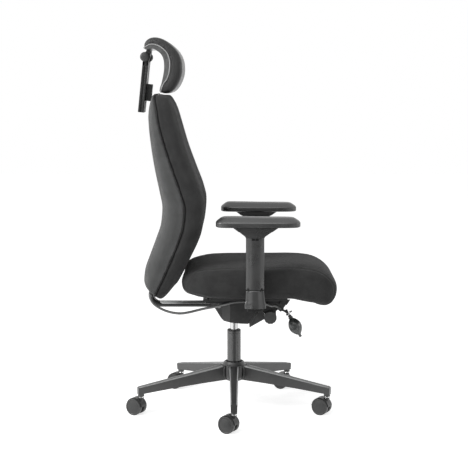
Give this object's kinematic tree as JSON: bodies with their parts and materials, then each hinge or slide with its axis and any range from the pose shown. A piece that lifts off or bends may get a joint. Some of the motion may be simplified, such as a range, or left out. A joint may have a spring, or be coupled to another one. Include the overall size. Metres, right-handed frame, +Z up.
{
  "type": "high back task chair",
  "caption": "Task chair on castors with a gas lift, reclining high back, air lumbar with hand pump, sliding seat, height adjusting arms and a tilting headrest.",
  "frame": {"origin": "on the floor, under the column axis", "axes": "+Z up, the chair faces -Y, +X at the sitter's left"},
  "size_m": [0.7051, 0.7518, 1.3439],
  "materials": {
    "base_nylon": "fine moulded texture",
    "column_paint": "satin powder coat",
    "bright_chrome": "polished",
    "zinc_steel": "zinc plated",
    "black_plastic": "fine spark texture",
    "grey_plastic": "fine spark texture",
    "button_plastic": "smooth satin",
    "wheel_plastic": "satin nylon with a soft tread",
    "painted_steel": "satin powder coat",
    "bulb_rubber": "smooth moulded rubber",
    "hose_vinyl": "smooth flexible tube",
    "seat_fabric": "woven upholstery",
    "rear_fabric": "woven upholstery",
    "shell_plastic": "satin",
    "pad_foam": "soft self-skinned foam"
  },
  "bodies": {
    "base": {"star_base": "base_nylon", "caster_sleeves": "zinc_steel", "column_tube": "column_paint", "guide_bush": "black_plastic", "thrust_bearing": "zinc_steel", "retaining_clip": "zinc_steel"},
    "caster_1": {"caster_1_stem": "bright_chrome", "caster_1_hood": "black_plastic"},
    "wheels_1": {"caster_1_wheels": "wheel_plastic"},
    "caster_2": {"caster_2_stem": "bright_chrome", "caster_2_hood": "black_plastic"},
    "wheels_2": {"caster_2_wheels": "wheel_plastic"},
    "caster_3": {"caster_3_stem": "bright_chrome", "caster_3_hood": "black_plastic"},
    "wheels_3": {"caster_3_wheels": "wheel_plastic"},
    "caster_4": {"caster_4_stem": "bright_chrome", "caster_4_hood": "black_plastic"},
    "wheels_4": {"caster_4_wheels": "wheel_plastic"},
    "caster_5": {"caster_5_stem": "bright_chrome", "caster_5_hood": "black_plastic"},
    "wheels_5": {"caster_5_wheels": "wheel_plastic"},
    "piston": {"piston_rod": "bright_chrome"},
    "carriage": {"gas_cylinder": "bright_chrome", "mechanism_housing": "black_plastic", "seat_plate": "painted_steel", "recline_pin": "zinc_steel", "recline_springs": "zinc_steel", "seat_rails": "black_plastic", "right_arm_bracket": "painted_steel", "left_arm_bracket": "painted_steel", "right_arm_socket": "grey_plastic", "left_arm_socket": "grey_plastic", "pump_bracket": "black_plastic", "pump_valve": "black_plastic", "pump_bulb": "bulb_rubber", "air_hose": "hose_vinyl"},
    "height_lever": {"height_lever": "black_plastic"},
    "tension_knob": {"tension_knob": "button_plastic", "tension_spindle": "zinc_steel"},
    "release_button": {"release_button": "bright_chrome"},
    "seat": {"seat_pan": "black_plastic", "seat_cushion": "seat_fabric"},
    "back": {"back_bar": "painted_steel", "back_board": "black_plastic", "back_rear_cover": "rear_fabric", "back_cushion": "seat_fabric", "lumbar_bladder": "hose_vinyl", "headrest_bracket": "black_plastic"},
    "headrest_post": {"headrest_post": "painted_steel", "headrest_pin": "black_plastic"},
    "headrest_link": {"headrest_link": "black_plastic"},
    "headrest": {"tilt_pin": "zinc_steel", "headrest_shell": "shell_plastic", "headrest_cushion": "seat_fabric"},
    "right_arm": {"right_arm_post": "grey_plastic"},
    "right_pad": {"right_arm_pad": "pad_foam"},
    "right_button": {"right_arm_button": "button_plastic"},
    "left_arm": {"left_arm_post": "grey_plastic"},
    "left_pad": {"left_arm_pad": "pad_foam"},
    "left_button": {"left_arm_button": "button_plastic"}
  },
  "joints": [
    {"name": "caster_1_swivel", "type": "hinge", "parent": "base", "child": "caster_1", "pos_m": [-0.351, 0, 0.065], "axis": [0, 0, 1], "continuous": true},
    {"name": "wheels_1_roll", "type": "hinge", "parent": "caster_1", "child": "wheels_1", "pos_m": [-0.34192, 0.01782, 0.03], "axis": [0.891, -0.454, 0], "continuous": true},
    {"name": "caster_2_swivel", "type": "hinge", "parent": "base", "child": "caster_2", "pos_m": [-0.10847, -0.33382, 0.065], "axis": [0, 0, 1], "continuous": true},
    {"name": "wheels_2_roll", "type": "hinge", "parent": "caster_2", "child": "wheels_2", "pos_m": [-0.09939, -0.316, 0.03], "axis": [0.891, -0.454, 0], "continuous": true},
    {"name": "caster_3_swivel", "type": "hinge", "parent": "base", "child": "caster_3", "pos_m": [0.28397, -0.20631, 0.065], "axis": [0, 0, 1], "continuous": true},
    {"name": "wheels_3_roll", "type": "hinge", "parent": "caster_3", "child": "wheels_3", "pos_m": [0.29304, -0.18849, 0.03], "axis": [0.891, -0.454, 0], "continuous": true},
    {"name": "caster_4_swivel", "type": "hinge", "parent": "base", "child": "caster_4", "pos_m": [0.28397, 0.20631, 0.065], "axis": [0, 0, 1], "continuous": true},
    {"name": "wheels_4_roll", "type": "hinge", "parent": "caster_4", "child": "wheels_4", "pos_m": [0.29304, 0.22413, 0.03], "axis": [0.891, -0.454, 0], "continuous": true},
    {"name": "caster_5_swivel", "type": "hinge", "parent": "base", "child": "caster_5", "pos_m": [-0.10847, 0.33382, 0.065], "axis": [0, 0, 1], "continuous": true},
    {"name": "wheels_5_roll", "type": "hinge", "parent": "caster_5", "child": "wheels_5", "pos_m": [-0.09939, 0.35164, 0.03], "axis": [0.891, -0.454, 0], "continuous": true},
    {"name": "swivel", "type": "hinge", "parent": "base", "child": "piston", "pos_m": [0, 0, 0.2], "axis": [0, 0, 1], "continuous": true},
    {"name": "gas_lift", "type": "slide", "parent": "piston", "child": "carriage", "axis": [0, 0, 1], "range_m": [-0.02, 0.08]},
    {"name": "height_lever_tilt", "type": "hinge", "parent": "carriage", "child": "height_lever", "pos_m": [-0.14, -0.095, 0.386], "axis": [1, 0, 0], "range_deg": [0, 12], "stiffness_Nm_per_rad": 0.6, "springref_deg": -8.59},
    {"name": "tension_turn", "type": "hinge", "parent": "carriage", "child": "tension_knob", "pos_m": [-0.09, -0.13, 0.352], "axis": [1, 0, 0], "continuous": true},
    {"name": "release_press", "type": "slide", "parent": "carriage", "child": "release_button", "axis": [0, 0.8829, -0.4695], "range_m": [0, 0.002], "stiffness_N_per_m": 400, "springref_m": -0.001},
    {"name": "seat_slide", "type": "slide", "parent": "carriage", "child": "seat", "axis": [0, -1, 0], "range_m": [0, 0.05]},
    {"name": "recline", "type": "hinge", "parent": "carriage", "child": "back", "pos_m": [0, 0.054, 0.39], "axis": [-1, 0, 0], "range_deg": [0, 20], "stiffness_Nm_per_rad": 90, "springref_deg": -34.38, "deforming": ["air_hose"]},
    {"name": "headrest_height", "type": "slide", "parent": "back", "child": "headrest_post", "axis": [0, -0.1045, 0.9945], "range_m": [0, 0.045]},
    {"name": "headrest_reach", "type": "hinge", "parent": "headrest_post", "child": "headrest_link", "pos_m": [0, 0.31, 1.277], "axis": [-1, 0, 0], "range_deg": [0, 25]},
    {"name": "headrest_tilt", "type": "hinge", "parent": "headrest_link", "child": "headrest", "pos_m": [0, 0.30042, 1.30648], "axis": [-1, 0, 0], "range_deg": [0, 20]},
    {"name": "right_arm_height", "type": "slide", "parent": "carriage", "child": "right_arm", "axis": [0, 0, 1], "range_m": [0, 0.08]},
    {"name": "right_pad_slide", "type": "slide", "parent": "right_arm", "child": "right_pad", "axis": [0, -1, 0], "range_m": [-0.025, 0.025]},
    {"name": "right_button_press", "type": "slide", "parent": "right_arm", "child": "right_button", "axis": [1, 0, 0], "range_m": [0, 0.003], "stiffness_N_per_m": 500, "springref_m": -0.001},
    {"name": "left_arm_height", "type": "slide", "parent": "carriage", "child": "left_arm", "axis": [0, 0, 1], "range_m": [0, 0.08]},
    {"name": "left_pad_slide", "type": "slide", "parent": "left_arm", "child": "left_pad", "axis": [0, -1, 0], "range_m": [-0.025, 0.025]},
    {"name": "left_button_press", "type": "slide", "parent": "left_arm", "child": "left_button", "axis": [-1, 0, 0], "range_m": [0, 0.003], "stiffness_N_per_m": 500, "springref_m": -0.001}
  ]
}
